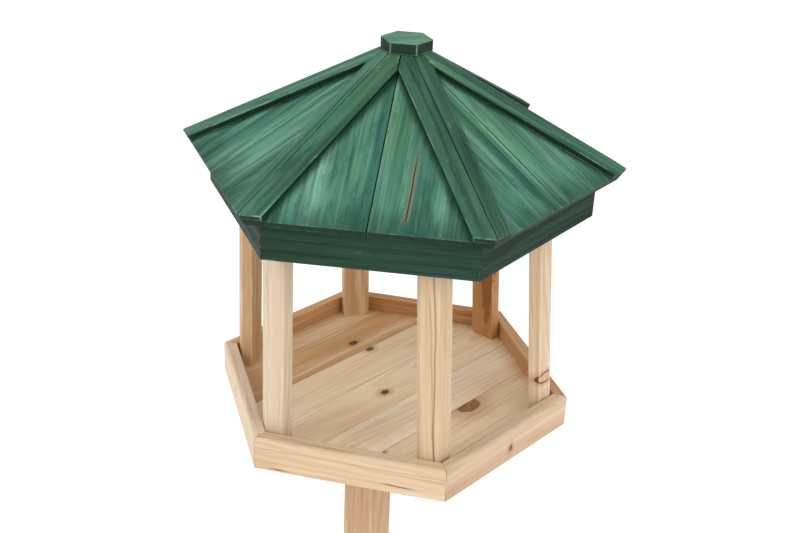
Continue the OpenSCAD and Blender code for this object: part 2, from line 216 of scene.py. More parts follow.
def green_stain(name, pale, middle, deep, wear, foot=None, split=None):
    """Sawn fir under a thin matt green stain: bands of blue green and yellow green follow the
    grain, it is darker at the foot of the boards, and the eased edges are rubbed paler. The dark
    line in seams, the dark band in the creases by the battens and the near-black ends and sides
    are painted shade over some real pooling of stain and end grain. A board may be split along
    the grain, with bare brown wood in the gap and a thin line of painted shade down its middle."""
    made = bpy.data.materials.new(name)
    made.use_nodes = True
    tree = made.node_tree
    shader = tree.nodes["Principled BSDF"]
    here, own, place = grain_place(tree)
    worn, end, seam, crease = (
        add_node(tree, "ShaderNodeAttribute", {"attribute_name": mark}).outputs["Fac"]
        for mark in ("worn", "end", "seam", "crease"))
    broad = streaks(tree, place, 2.6, 48, 3.0, 0.55)
    band = streaks(tree, place, 3.4, 95, 2.0, 0.5)
    narrow = streaks(tree, place, 9.0, 300, 3.0, 0.6)
    fibre = streaks(tree, place, 34.0, 1300, 2.0, 0.5)
    cloud = streaks(tree, place, 11.0, 24, 3.0, 0.6)
    brushed = streaks(tree, place, 16.0, 70, 4.0, 0.65)
    patchy = streaks(tree, place, 24.0, 130, 4.0, 0.7)
    brush_line = streaks(tree, place, 13.0, 640, 1.0, 0.5)
    rings = year_rings(tree, here, place, own, 0.0065, 0.020)
    colour = laid_over(tree, linear(middle), broad, 0.40, 0.60, 1.0, linear(pale))
    colour = laid_over(tree, colour, cloud, 0.50, 0.70, 1.0, (1.05, 0.97, 0.72, 1.0), "MULTIPLY")
    colour = laid_over(tree, colour, band, 0.53, 0.66, 1.0, (0.60, 0.66, 0.78, 1.0), "MULTIPLY")
    colour = laid_over(tree, colour, band, 0.44, 0.33, 1.0, (1.30, 1.22, 1.34, 1.0), "MULTIPLY")
    colour = laid_over(tree, colour, narrow, 0.48, 0.70, 0.50, linear(deep))
    colour = add_node(tree, "ShaderNodeMix", {"data_type": "RGBA"}, {
        0: add_node(tree, "ShaderNodeMath", {"operation": "MULTIPLY"}, {0: rings, 1: 0.22}).outputs["Value"],
        6: colour, 7: linear(deep),
    }).outputs[2]
    colour = laid_over(tree, colour, brushed, 0.52, 0.70, 0.60, linear(deep))
    colour = laid_over(tree, colour, fibre, 0.55, 0.76, 0.30, (1.55, 1.42, 1.42, 1.0), "MULTIPLY")
    colour = laid_over(tree, colour, brush_line, 0.58, 0.68, 0.42, linear(deep))
    colour = laid_over(tree, colour, brush_line, 0.38, 0.30, 0.50, (1.42, 1.32, 1.32, 1.0), "MULTIPLY")
    each = own_share(tree, own, 3.7)
    colour = add_node(tree, "ShaderNodeMix", {"data_type": "RGBA"}, {
        0: add_node(tree, "ShaderNodeMath", {"operation": "MULTIPLY"}, {0: each, 1: 0.16}).outputs["Value"],
        6: colour, 7: linear(deep),
    }).outputs[2]
    if foot is not None:
        down = add_node(tree, "ShaderNodeSeparateXYZ", None, {"Vector": here}).outputs["X"]
        down = add_node(tree, "ShaderNodeMath", {"operation": "ADD"}, {
            0: down, 1: both_ways(tree, patchy, 0.07),
        }).outputs["Value"]
        colour = laid_over(tree, colour, down, foot - 0.030, foot + 0.004, 0.70, linear(deep))
    if split is not None:
        start, finish, across = split
        spot = add_node(tree, "ShaderNodeSeparateXYZ", None, {"Vector": here}).outputs
        wander = both_ways(tree, streaks(tree, place, 30, 5, 2.0), 0.0025)
        off = add_node(tree, "ShaderNodeMath", {"operation": "ABSOLUTE"}, {
            0: add_node(tree, "ShaderNodeMath", {"operation": "ADD"}, {
                0: add_node(tree, "ShaderNodeMath", {"operation": "SUBTRACT"}, {
                    0: spot["Y"], 1: across,
                }).outputs["Value"],
                1: wander,
            }).outputs["Value"],
        }).outputs["Value"]
        run = add_node(tree, "ShaderNodeMath", {"operation": "MULTIPLY"}, {
            0: add_node(tree, "ShaderNodeMapRange", {"interpolation_type": "SMOOTHSTEP"}, {
                "Value": spot["X"], "From Min": start, "From Max": start + 0.030,
            }).outputs["Result"],
            1: add_node(tree, "ShaderNodeMapRange", {"interpolation_type": "SMOOTHSTEP"}, {
                "Value": spot["X"], "From Min": finish, "From Max": finish - 0.006,
            }).outputs["Result"],
        }).outputs["Value"]
        # The split shows pale and brown bare wood, and a thin near-black line of painted shade down the
        # middle of the crack.
        for width, share, bare in (
            (0.0032, 0.35, "#8d8a58"), (0.0010, 0.85, "#6a4a2c"), (0.0004, 0.9, "#1d1f14"),
        ):
            inside = add_node(tree, "ShaderNodeMapRange", {"interpolation_type": "SMOOTHSTEP"}, {
                "Value": off, "From Min": width, "From Max": width * 0.35, "To Min": 0, "To Max": share,
            }).outputs["Result"]
            colour = add_node(tree, "ShaderNodeMix", {"data_type": "RGBA"}, {
                0: add_node(tree, "ShaderNodeMath", {"operation": "MULTIPLY"}, {
                    0: inside, 1: run,
                }).outputs["Value"],
                6: colour, 7: linear(bare),
            }).outputs[2]
    rub = add_node(tree, "ShaderNodeMath", {"operation": "MULTIPLY"}, {
        0: worn,
        1: add_node(tree, "ShaderNodeMapRange", {"interpolation_type": "SMOOTHSTEP"}, {
            "Value": patchy, "From Min": 0.50, "From Max": 0.64, "To Min": 0, "To Max": wear,
        }).outputs["Result"],
    }).outputs["Value"]
    colour = add_node(tree, "ShaderNodeMix", {"data_type": "RGBA"}, {
        0: rub, 6: colour, 7: linear("#7fa287"),
    }).outputs[2]
    bare = add_node(tree, "ShaderNodeMapRange", {"interpolation_type": "SMOOTHSTEP"}, {
        "Value": streaks(tree, place, 55, 120, 3.0), "From Min": 0.66, "From Max": 0.72, "To Min": 0,
        "To Max": wear,
    }).outputs["Result"]
    bare = add_node(tree, "ShaderNodeMath", {"operation": "MULTIPLY"}, {
        0: bare,
        1: add_node(tree, "ShaderNodeMapRange", {"interpolation_type": "SMOOTHSTEP"}, {
            "Value": worn, "From Min": 0.0, "From Max": 1.0, "To Min": 0.35, "To Max": 1.0,
        }).outputs["Result"],
    }).outputs["Value"]
    colour = add_node(tree, "ShaderNodeMix", {"data_type": "RGBA"}, {
        0: bare, 6: colour, 7: linear("#a9a673"),
    }).outputs[2]
    uneven = add_node(tree, "ShaderNodeMath", {"operation": "SUBTRACT"}, {
        0: brushed, 1: 0.5,
    }).outputs["Value"]
    # Painted shade, over some real pooling of stain: a thin dark green line along the seams and hip mitres,
    # and a wider dark band in the crease at the foot of each batten.
    for edge, width, depth, ragged in ((seam, 0.0009, 0.85, 0.0010), (crease, 0.0055, 0.72, 0.012)):
        near = add_node(tree, "ShaderNodeMath", {"operation": "ADD"}, {
            0: edge,
            1: add_node(tree, "ShaderNodeMath", {"operation": "MULTIPLY"}, {
                0: uneven, 1: ragged,
            }).outputs["Value"],
        }).outputs["Value"]
        colour = laid_over(tree, colour, near, width, 0.0, depth, linear("#10291f"))
    # Painted shade, partly end grain taking more stain: board ends, batten sides and cap sides go almost
    # black green.
    colour = add_node(tree, "ShaderNodeMix", {"data_type": "RGBA"}, {
        0: add_node(tree, "ShaderNodeMath", {"operation": "MULTIPLY"}, {0: end, 1: 0.93}).outputs["Value"],
        6: colour, 7: linear("#12291f"),
    }).outputs[2]
    tree.links.new(colour, shader.inputs["Base Color"])
    shader.inputs["IOR"].default_value = 1.45
    shader.inputs["Specular IOR Level"].default_value = 0.15
    tree.links.new(
        add_node(tree, "ShaderNodeMapRange", {"interpolation_type": "SMOOTHSTEP"}, {
            "Value": narrow, "From Min": 0.3, "From Max": 0.7, "To Min": 0.55, "To Max": 0.72,
        }).outputs["Result"],
        shader.inputs["Roughness"],
    )
    height = add_node(tree, "ShaderNodeMath", {"operation": "ADD"}, {
        0: add_node(tree, "ShaderNodeMath", {"operation": "MULTIPLY"}, {0: rings, 1: -0.4}).outputs["Value"],
        1: add_node(tree, "ShaderNodeMath", {"operation": "ADD"}, {0: narrow, 1: fibre}).outputs["Value"],
    }).outputs["Value"]
    bump = add_node(tree, "ShaderNodeBump", None, {"Height": height, "Strength": 0.30, "Distance": 0.0005})
    tree.links.new(bump.outputs["Normal"], shader.inputs["Normal"])
    return made


def finish_stick(b, name, place, ease, number, finish, nodes, seam=None, crease=None, painted_shade_side=None):
    """Eases a sawn stick's edges, marks its grain, eased edges and sawn ends, and sets it in the frame.
    Side faces picked by the last argument are marked with the ends, so the stain paints them dark as shade.
    """
    bmesh.ops.recalc_face_normals(b, faces=b.faces[:])
    sharp = [e for e in b.edges if len(e.link_faces) == 2 and e.calc_face_angle(0) > 0.3]
    eased = set(bmesh.ops.bevel(
        b, geom=sharp, offset=ease, segments=2, profile=0.6, affect="EDGES", clamp_overlap=True,
    )["faces"])
    grain = b.loops.layers.float_vector.new("grain")
    stick = b.loops.layers.float.new("stick")
    worn = b.loops.layers.float.new("worn")
    end = b.loops.layers.float.new("end")
    from_seam = b.loops.layers.float.new("seam")
    from_crease = b.loops.layers.float.new("crease")
    inside = place.inverted()
    along = place.to_3x3() @ Vector((1, 0, 0))
    for face in b.faces:
        square_on = abs(face.normal.dot(along)) > 0.8 and face not in eased
        for loop in face.loops:
            loop[grain] = inside @ loop.vert.co
            loop[stick] = number * 0.3819 + 0.21
            loop[worn] = 1.0 if face in eased else 0.0
            # Sawn ends take more stain; the side faces picked for painted shade are marked with them and
            # darkened the same way.
            loop[end] = (
                1.0
                if square_on or (painted_shade_side and face not in eased and painted_shade_side(face.normal)) else 0.0
            )
            loop[from_seam] = seam(loop.vert.co) if seam else 1.0
            loop[from_crease] = crease(loop.vert.co) if crease else 1.0
    mesh = bpy.data.meshes.new(name)
    b.to_mesh(mesh)
    b.free()
    mesh.materials.append(finish)
    piece = bpy.data.objects.new(name, mesh)
    bpy.context.scene.collection.objects.link(piece)
    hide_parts(*nodes)
    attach(piece, "root")
    return piece


def saw(b, point, normal):
    """Saws off what lies outside a plane and closes the cut."""
    cut = bmesh.ops.bisect_plane(
        b, geom=b.verts[:] + b.edges[:] + b.faces[:], dist=1e-7,
        plane_co=point, plane_no=normal, clear_outer=True,
    )["geom_cut"]
    edges = [g for g in cut if isinstance(g, bmesh.types.BMEdge)]
    if len(edges) > 2:
        bmesh.ops.contextual_create(b, geom=edges)


def sawn_stick(site, low, high, cuts):
    """A box in a site's own axes, sawn off on planes given in the same axes."""
    b = bmesh.new()
    low, high = Vector(low), Vector(high)
    middle, size = (low + high) / 2, high - low
    bmesh.ops.create_cube(b, size=1.0, matrix=site @ Matrix.Translation(middle) @ Matrix.Diagonal((*size, 1)))
    for point, normal in cuts:
        saw(b, site @ Vector(point), (site.to_3x3() @ Vector(normal)).normalized())
    return b


def about_z(angle):
    """A turn about the upright axis of the tray."""
    return Matrix.Rotation(radians(angle), 4, "Z")


bay_height = 0.151
mitre = radians(30)
fascia_corner = 0.147
fascia_mid = fascia_corner * cos(mitre)
fascia_rise = 0.0374
roof_turn = 5.0
pitch = radians(30.4)
board_thick = 0.006
batten_thick = 0.005
board_apex = bay_height + fascia_rise + board_thick / cos(pitch) + fascia_mid * tan(pitch)
eave_over = 0.0153
eave = (fascia_mid + eave_over) / cos(pitch)
cap_low, cap_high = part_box("roof_cap")
cap_seat = cap_low[2] - rail_top
roof_cut = cap_seat - 0.0002
hip_gap = 0.0001
half_seam = 0.0003
spare = 0.3
top = Matrix.Translation((0, 0, rail_top))


def roof_side(i):
    """Axes of one roof side: X level and outwards, Z up from the top of the rails."""
    return top @ about_z(roof_turn + 60 * i - 90)


def roof_slope(i):
    """Axes on the boards of one roof side: X down the slope from the peak, Z out of it."""
    return roof_side(i) @ Matrix.Translation((0, 0, board_apex)) @ Matrix.Rotation(pitch, 4, "Y")


def hip_cut(side, gap):
    """The upright mitre plane between two sides, in a slope's axes."""
    lay = Matrix.Rotation(-pitch, 3, "Y")
    normal = lay @ Vector((-sin(mitre), side * cos(mitre), 0))
    start = lay @ Vector((0, 0, -board_apex))
    return start - normal * gap, normal


def level_cut(height):
    """The level plane at a height above the rails, in a slope's axes."""
    lay = Matrix.Rotation(-pitch, 3, "Y")
    return lay @ Vector((0, 0, height - board_apex)), lay @ Vector((0, 0, 1))


batten_wide = 0.014
hip_turn = atan(tan(mitre) * cos(pitch))
batten_start = -batten_thick * tan(pitch)


def batten_edge(down, wide):
    """How far a line along the batten lies from the middle of the side, at a distance down the slope."""
    return (down - batten_start) * tan(hip_turn) - wide / cos(hip_turn)


board_green = green_stain("sawn_fir_green_stain_boards", "#6b9f87", "#4f8870", "#24463a", 0.3, eave)
split_green = green_stain("sawn_fir_green_stain_split_board", "#6b9f87", "#4f8870", "#24463a", 0.3, eave,
                          (0.088, 0.158, 0.0240))
for i in range(6):
    for side in (-1, 1):
        slope = roof_slope(i)
        low_y, high_y = (half_seam, spare) if side > 0 else (-spare, -half_seam)
        board = sawn_stick(slope, (-0.05, low_y, -board_thick), (eave, high_y, 0), [
            hip_cut(side, hip_gap), level_cut(roof_cut),
        ])
        number = 2 * i + (1 if side < 0 else 2)
        name = "roof_board_%d" % number
        lower_edge = slope.inverted()

        def from_middle(point):
            return abs((lower_edge @ point).y)

        def from_batten(point):
            down, across, _ = lower_edge @ point
            return (batten_edge(down, batten_wide) - abs(across)) * cos(hip_turn)

        finish = split_green if number == 2 else board_green
        finish_stick(board, name, slope, 0.0005, number, finish, [name],
                     seam=from_middle, crease=from_batten)


# ---- Hip battens: a pair of thin fir strips along each hip, nailed over the ends of the boards.
# They meet on the hip in a mitre, and near the peak they run into their neighbours.
batten_green = green_stain("sawn_fir_green_stain_battens", "#5b8f76", "#45765f", "#20402f", 0.8)
dark_batten_green = green_stain("sawn_fir_green_stain_dark_battens", "#446e58", "#356049", "#1a3528", 0.5)
half_ridge = 0.0004


def batten(i, side):
    """One hip batten of a roof side."""
    low_y, high_y = (half_ridge, spare) if side > 0 else (-spare, -half_ridge)
    inner = ((0, side * batten_edge(0, batten_wide), 0), (sin(hip_turn), -side * cos(hip_turn), 0))
    return sawn_stick(roof_slope(i), (-0.05, low_y, 0), (eave, high_y, batten_thick), [
        hip_cut(side, hip_gap), inner, level_cut(roof_cut),
    ])


for i in range(6):
    name = "hip_batten_pair_%d" % (i + 1)
    for place, side, letter in ((i, 1, "a"), ((i + 1) % 6, -1, "b")):
        lying = roof_slope(place) @ Matrix.Rotation(side * hip_turn, 4, "Z")
        hip_across = (roof_side(place).to_3x3() @ Vector((-sin(mitre), side * cos(mitre), 0))).normalized()

        def from_hip(point):
            return abs((point - Vector((0, 0, rail_top))).dot(hip_across))

        # The side faces of a batten are marked to be painted dark, standing in for the shade along its edges.
        def on_edge_face(normal):
            return abs(normal.dot(lying.to_3x3() @ Vector((0, 0, 1)))) < 0.6

        finish = dark_batten_green if i in (0, 2) else batten_green
        finish_stick(batten(place, side), name + letter, lying, 0.0008, 20 + 2 * i + side, finish,
                     [name], seam=from_hip, painted_shade_side=on_edge_face)


# ---- Fascia: six stained boards on edge under the eaves, mitred at the corners.
# Their tops are planed to the slope of the roof, and the roof boards are nailed down into them.
fascia_green = green_stain("sawn_fir_green_stain_fascia", "#2b4a3b", "#223c2f", "#0f2319", 0.25)
fascia_thick = 0.009
on_edge = Matrix(((0, 1, 0, 0), (0, 0, 1, 0), (1, 0, 0, 0), (0, 0, 0, 1))).transposed()
for i in range(6):
    site = roof_side(i)
    under = (
        (0, 0, board_apex - board_thick / cos(pitch)), (sin(pitch), 0, cos(pitch)),
    )
    board = sawn_stick(site, (fascia_mid - fascia_thick, -0.2, bay_height), (fascia_mid, 0.2, 0.3), [
        ((0, 0, 0), (-sin(mitre), cos(mitre), 0)), ((0, 0, 0), (-sin(mitre), -cos(mitre), 0)), under,
    ])
    name = "fascia_board_%d" % (i + 1)
    finish_stick(board, name, site @ on_edge, 0.0006, 50 + i, fascia_green, [name])


# ---- Roof cap: a six-sided block of stained fir glued and nailed over the peak.
# It is sawn across the grain, and its sides are painted much darker than its top: partly end grain taking
# more stain, partly painted shade on the upright faces.
cap_green = green_stain("sawn_fir_green_stain_cap", "#72a48b", "#568a71", "#274a3b", 0.1)
cap_corner, cap_shift = 0.019, 0.002
cap_flat = cap_corner * cos(mitre)
cap_site = Matrix.Translation((cap_shift, 0, 0)) @ top @ about_z(roof_turn)
cap = sawn_stick(cap_site, (-0.03, -0.03, cap_seat), (0.03, 0.03, cap_high[2] - rail_top), [
    ((cap_flat * cos(mitre * (2 * k + 1)), cap_flat * sin(mitre * (2 * k + 1)), 0),
     (cos(mitre * (2 * k + 1)), sin(mitre * (2 * k + 1)), 0)) for k in range(6)
])
finish_stick(cap, "roof_cap", cap_site @ about_z(20), 0.0006, 61, cap_green,
             ["roof_cap"], painted_shade_side=lambda normal: abs(normal.z) < 0.5)


# ---- Floor of the tray: six planed fir planks laid side by side, cornerwise across the hexagon.
# The wood is bare, with dark dead knots and pink-brown heartwood in some planks.
def bare_fir(name, pale, middle, brown, knots=(), ring=0.0032, waviness=0.010, heartwood=0.0, veins=(),
             mitred=None, curl=None):
    """Planed bare fir: cream early wood, tan late wood, pink-brown heartwood in long bands, knots
    with a reddish halo, thin dark resin veins, and a faint sheen from the planer."""
    made = bpy.data.materials.new(name)
    made.use_nodes = True
    tree = made.node_tree
    shader = tree.nodes["Principled BSDF"]
    here, own, place = grain_place(tree)
    spot = add_node(tree, "ShaderNodeSeparateXYZ", None, {"Vector": here}).outputs
    worn = add_node(tree, "ShaderNodeAttribute", {"attribute_name": "worn"}).outputs["Fac"]
    end = add_node(tree, "ShaderNodeAttribute", {"attribute_name": "end"}).outputs["Fac"]
    rag = both_ways(tree, streaks(tree, place, 200, 260, 2.0), 0.5)
    push, marks = None, []
    for along, across, length, width, core_tone in knots:
        reach = add_node(tree, "ShaderNodeVectorMath", {"operation": "LENGTH"}, {
            0: add_node(tree, "ShaderNodeCombineXYZ", None, {
                "X": add_node(tree, "ShaderNodeMath", {"operation": "DIVIDE"}, {
                    0: add_node(tree, "ShaderNodeMath", {"operation": "SUBTRACT"}, {
                        0: spot["X"], 1: along,
                    }).outputs["Value"],
                    1: length,
                }).outputs["Value"],
                "Y": add_node(tree, "ShaderNodeMath", {"operation": "DIVIDE"}, {
                    0: add_node(tree, "ShaderNodeMath", {"operation": "SUBTRACT"}, {
                        0: spot["Y"], 1: across,
                    }).outputs["Value"],
                    1: width,
                }).outputs["Value"],
            }).outputs["Vector"],
        }).outputs["Value"]
        reach = add_node(tree, "ShaderNodeMath", {"operation": "ADD"}, {0: reach, 1: rag}).outputs["Value"]
        shove = add_node(tree, "ShaderNodeMath", {"operation": "MULTIPLY"}, {
            0: add_node(tree, "ShaderNodeMapRange", {"interpolation_type": "SMOOTHSTEP"}, {
                "Value": reach, "From Min": 4.5, "From Max": 0.6,
            }).outputs["Result"],
            1: width * 1.3,
        }).outputs["Value"]
        push = shove if push is None else add_node(tree, "ShaderNodeMath", {"operation": "ADD"}, {
            0: push, 1: shove,
        }).outputs["Value"]
        core = add_node(tree, "ShaderNodeMapRange", {"interpolation_type": "SMOOTHSTEP"}, {
            "Value": reach, "From Min": 1.2, "From Max": 0.8,
        }).outputs["Result"]
        halo = add_node(tree, "ShaderNodeMapRange", {"interpolation_type": "SMOOTHSTEP"}, {
            "Value": reach, "From Min": 3.2, "From Max": 0.9,
        }).outputs["Result"]
        marks.append((core, halo, core_tone, 0.4 if length < 0.02 else 0.0))
    broad = streaks(tree, place, 2.2, 34, 3.0, 0.55)
    narrow = streaks(tree, place, 7.0, 380, 3.0, 0.6)
    fibre = streaks(tree, place, 22.0, 1600, 2.0, 0.5)
    flame = streaks(tree, place, 6.0, 90, 4.0, 0.6)
    rings = year_rings(tree, here, place, own, ring, waviness, push)
    colour = laid_over(tree, linear(pale), broad, 0.38, 0.64, 1.0, linear(middle))
    heart = add_node(tree, "ShaderNodeMapRange", {"interpolation_type": "SMOOTHSTEP"}, {
        "Value": streaks(tree, place, 1.6, 15, 2.0), "From Min": 0.56 - 0.25 * heartwood,
        "From Max": 0.72 - 0.2 * heartwood, "To Min": 0, "To Max": 0.75,
    }).outputs["Result"]
    colour = add_node(tree, "ShaderNodeMix", {"data_type": "RGBA"}, {
        0: add_node(tree, "ShaderNodeMath", {"operation": "MULTIPLY"}, {
            0: heart, 1: 0.35 + 0.5 * heartwood,
        }).outputs["Value"],
        6: colour, 7: linear(brown),
    }).outputs[2]
    colour = laid_over(tree, colour, flame, 0.46, 0.30, 0.55, linear("#f0e0c4"))
    colour = laid_over(tree, colour, flame, 0.58, 0.72, 0.40, linear(brown))
    colour = add_node(tree, "ShaderNodeMix", {"data_type": "RGBA"}, {
        0: add_node(tree, "ShaderNodeMath", {"operation": "MULTIPLY"}, {0: rings, 1: 0.26}).outputs["Value"],
        6: colour, 7: linear(brown),
    }).outputs[2]
    colour = laid_over(tree, colour, narrow, 0.45, 0.72, 0.26, linear(brown))
    colour = laid_over(tree, colour, fibre, 0.55, 0.78, 0.18, linear("#fbf0dc"))
    hair = streaks(tree, place, 5.0, 560, 2.0, 0.5)
    colour = laid_over(tree, colour, hair, 0.60, 0.72, 0.40, linear(brown))
    each = own_share(tree, own, 3.7)
    colour = add_node(tree, "ShaderNodeMix", {"data_type": "RGBA"}, {
        0: add_node(tree, "ShaderNodeMath", {"operation": "MULTIPLY"}, {0: each, 1: 0.20}).outputs["Value"],
        6: colour, 7: linear(middle),
    }).outputs[2]
    colour = add_node(tree, "ShaderNodeMix", {"data_type": "RGBA"}, {
        0: add_node(tree, "ShaderNodeMath", {"operation": "MULTIPLY"}, {0: end, 1: 0.45}).outputs["Value"],
        6: colour, 7: linear("#a97c4b"),
    }).outputs[2]
    for start, finish, across, slant, strength in veins:
        wander = both_ways(tree, streaks(tree, place, 12, 9, 2.0), 0.005)
        line = add_node(tree, "ShaderNodeMath", {"operation": "ADD"}, {
            0: add_node(tree, "ShaderNodeMath", {"operation": "SUBTRACT"}, {
                0: spot["Y"], 1: across,
            }).outputs["Value"],
            1: wander,
        }).outputs["Value"]
        line = add_node(tree, "ShaderNodeMath", {"operation": "ABSOLUTE"}, {
            0: add_node(tree, "ShaderNodeMath", {"operation": "SUBTRACT"}, {
                0: line,
                1: add_node(tree, "ShaderNodeMath", {"operation": "MULTIPLY"}, {
                    0: spot["X"], 1: slant,
                }).outputs["Value"],
            }).outputs["Value"],
        }).outputs["Value"]
        run = add_node(tree, "ShaderNodeMath", {"operation": "MULTIPLY"}, {
            0: add_node(tree, "ShaderNodeMapRange", {"interpolation_type": "SMOOTHSTEP"}, {
                "Value": spot["X"], "From Min": start, "From Max": start + 0.012,
            }).outputs["Result"],
            1: add_node(tree, "ShaderNodeMapRange", {"interpolation_type": "SMOOTHSTEP"}, {
                "Value": spot["X"], "From Min": finish, "From Max": finish - 0.012,
            }).outputs["Result"],
        }).outputs["Value"]
        thin = add_node(tree, "ShaderNodeMath", {"operation": "MULTIPLY"}, {
            0: add_node(tree, "ShaderNodeMapRange", {"interpolation_type": "SMOOTHSTEP"}, {
                "Value": line, "From Min": 0.0009, "From Max": 0.0001, "To Min": 0, "To Max": strength,
            }).outputs["Result"],
            1: run,
        }).outputs["Value"]
        colour = add_node(tree, "ShaderNodeMix", {"data_type": "RGBA"}, {
            0: thin, 6: colour, 7: linear("#6f4528"),
        }).outputs[2]
    for core, halo, core_tone, speckled in marks:
        colour = add_node(tree, "ShaderNodeMix", {"data_type": "RGBA"}, {
            0: add_node(tree, "ShaderNodeMath", {"operation": "MULTIPLY"}, {
                0: halo, 1: 0.50,
            }).outputs["Value"],
            6: colour, 7: linear("#b07a4c"),
        }).outputs[2]
        rim = add_node(tree, "ShaderNodeMapRange", {"interpolation_type": "SMOOTHSTEP"}, {
            "Value": core, "From Min": 0.0, "From Max": 0.6, "To Min": 0, "To Max": 0.85,
        }).outputs["Result"]
        colour = add_node(tree, "ShaderNodeMix", {"data_type": "RGBA"}, {
            0: rim, 6: colour, 7: linear(core_tone),
        }).outputs[2]
        flecks = add_node(tree, "ShaderNodeMapRange", {"interpolation_type": "SMOOTHSTEP"}, {
            "Value": streaks(tree, place, 120, 300, 3.0), "From Min": 0.45, "From Max": 0.62, "To Min": 0,
            "To Max": speckled,
        }).outputs["Result"]
        colour = add_node(tree, "ShaderNodeMix", {"data_type": "RGBA"}, {
            0: add_node(tree, "ShaderNodeMath", {"operation": "MULTIPLY"}, {
                0: core, 1: flecks,
            }).outputs["Value"],
            6: colour, 7: linear("#4a2c18"),
        }).outputs[2]
    if curl is not None:
        height, length = curl
        turned = add_node(tree, "ShaderNodeMath", {"operation": "SUBTRACT"}, {
            0: spot["Y"], 1: spot["Z"],
        }).outputs["Value"]
        reach = add_node(tree, "ShaderNodeVectorMath", {"operation": "LENGTH"}, {
            0: add_node(tree, "ShaderNodeCombineXYZ", None, {
                "X": add_node(tree, "ShaderNodeMath", {"operation": "DIVIDE"}, {
                    0: add_node(tree, "ShaderNodeMath", {"operation": "SUBTRACT"}, {
                        0: spot["X"], 1: height,
                    }).outputs["Value"],
                    1: 0.0042,
                }).outputs["Value"],
                "Y": add_node(tree, "ShaderNodeMath", {"operation": "DIVIDE"}, {
                    0: add_node(tree, "ShaderNodeMath", {"operation": "ADD"}, {
                        0: turned, 1: 0.0075,
                    }).outputs["Value"],
                    1: length,
                }).outputs["Value"],
            }).outputs["Vector"],
        }).outputs["Value"]
        reach = add_node(tree, "ShaderNodeMath", {"operation": "ADD"}, {
            0: reach,
            1: add_node(tree, "ShaderNodeMath", {"operation": "MULTIPLY"}, {
                0: rag, 1: 0.25,
            }).outputs["Value"],
        }).outputs["Value"]
        colour = laid_over(tree, colour, reach, 2.2, 0.9, 0.55, linear("#b06a48"))
        colour = laid_over(tree, colour, reach, 0.95, 0.7, 0.7, linear("#dcb084"))
        rim = add_node(tree, "ShaderNodeMath", {"operation": "ABSOLUTE"}, {
            0: add_node(tree, "ShaderNodeMath", {"operation": "SUBTRACT"}, {
                0: reach, 1: 1.0,
            }).outputs["Value"],
        }).outputs["Value"]
        open_end = add_node(tree, "ShaderNodeMapRange", {"interpolation_type": "SMOOTHSTEP"}, {
            "Value": turned, "From Min": -0.002, "From Max": -0.004,
        }).outputs["Result"]
        rim = add_node(tree, "ShaderNodeMath", {"operation": "MULTIPLY"}, {
            0: add_node(tree, "ShaderNodeMapRange", {"interpolation_type": "SMOOTHSTEP"}, {
                "Value": rim, "From Min": 0.20, "From Max": 0.06, "To Min": 0, "To Max": 0.9,
            }).outputs["Result"],
            1: open_end,
        }).outputs["Value"]
        colour = add_node(tree, "ShaderNodeMix", {"data_type": "RGBA"}, {
            0: rim, 6: colour, 7: linear("#62281a"),
        }).outputs[2]
    if mitred is not None:
        short = add_node(tree, "ShaderNodeMath", {"operation": "ADD"}, {
            0: add_node(tree, "ShaderNodeMath", {"operation": "MULTIPLY"}, {
                0: spot["Z"], 1: tan(mitre),
            }).outputs["Value"],
            1: mitred,
        }).outputs["Value"]
        gap = add_node(tree, "ShaderNodeMath", {"operation": "SUBTRACT"}, {
            0: short,
            1: add_node(tree, "ShaderNodeMath", {"operation": "ABSOLUTE"}, {0: spot["X"]}).outputs["Value"],
        }).outputs["Value"]
        colour = laid_over(tree, colour, gap, 0.0007, 0.0001, 0.5, linear("#8a5f3c"))
    rub = add_node(tree, "ShaderNodeMath", {"operation": "MULTIPLY"}, {
        0: worn,
        1: add_node(tree, "ShaderNodeMapRange", {"interpolation_type": "SMOOTHSTEP"}, {
            "Value": streaks(tree, place, 30, 90, 4.0), "From Min": 0.45, "From Max": 0.65, "To Min": 0,
            "To Max": 0.4,
        }).outputs["Result"],
    }).outputs["Value"]
    colour = add_node(tree, "ShaderNodeMix", {"data_type": "RGBA"}, {
        0: rub, 6: colour, 7: linear("#f2e2c8"),
    }).outputs[2]
    tree.links.new(colour, shader.inputs["Base Color"])
    shader.inputs["IOR"].default_value = 1.5
    shader.inputs["Specular IOR Level"].default_value = 0.25
    tree.links.new(
        add_node(tree, "ShaderNodeMapRange", {"interpolation_type": "SMOOTHSTEP"}, {
            "Value": narrow, "From Min": 0.3, "From Max": 0.7, "To Min": 0.5, "To Max": 0.66,
        }).outputs["Result"],
        shader.inputs["Roughness"],
    )
    height = add_node(tree, "ShaderNodeMath", {"operation": "ADD"}, {
        0: add_node(tree, "ShaderNodeMath", {"operation": "MULTIPLY"}, {0: rings, 1: -0.4}).outputs["Value"],
        1: add_node(tree, "ShaderNodeMath", {"operation": "ADD"}, {0: narrow, 1: fibre}).outputs["Value"],
    }).outputs["Value"]
    bump = add_node(tree, "ShaderNodeBump", None, {"Height": height, "Strength": 0.22, "Distance": 0.0004})
    tree.links.new(bump.outputs["Normal"], shader.inputs["Normal"])
    return made


floor_low, floor_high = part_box("floor_plank_3")
rail_thick = 0.010
rail_inside = -rail_low[1] - rail_thick
plank_thick, half_joint = 0.008, 0.00025
plank_wide = rail_inside / 3
plank_turn = 60
tray_site = Matrix.Translation((0, 0, floor_high[2]))


def in_plank_axes(along_x, along_y):
    """A point of the tray in the planks' axes."""
    turned = about_z(-plank_turn) @ Vector((along_x, along_y, 0))
    return turned.x, turned.y


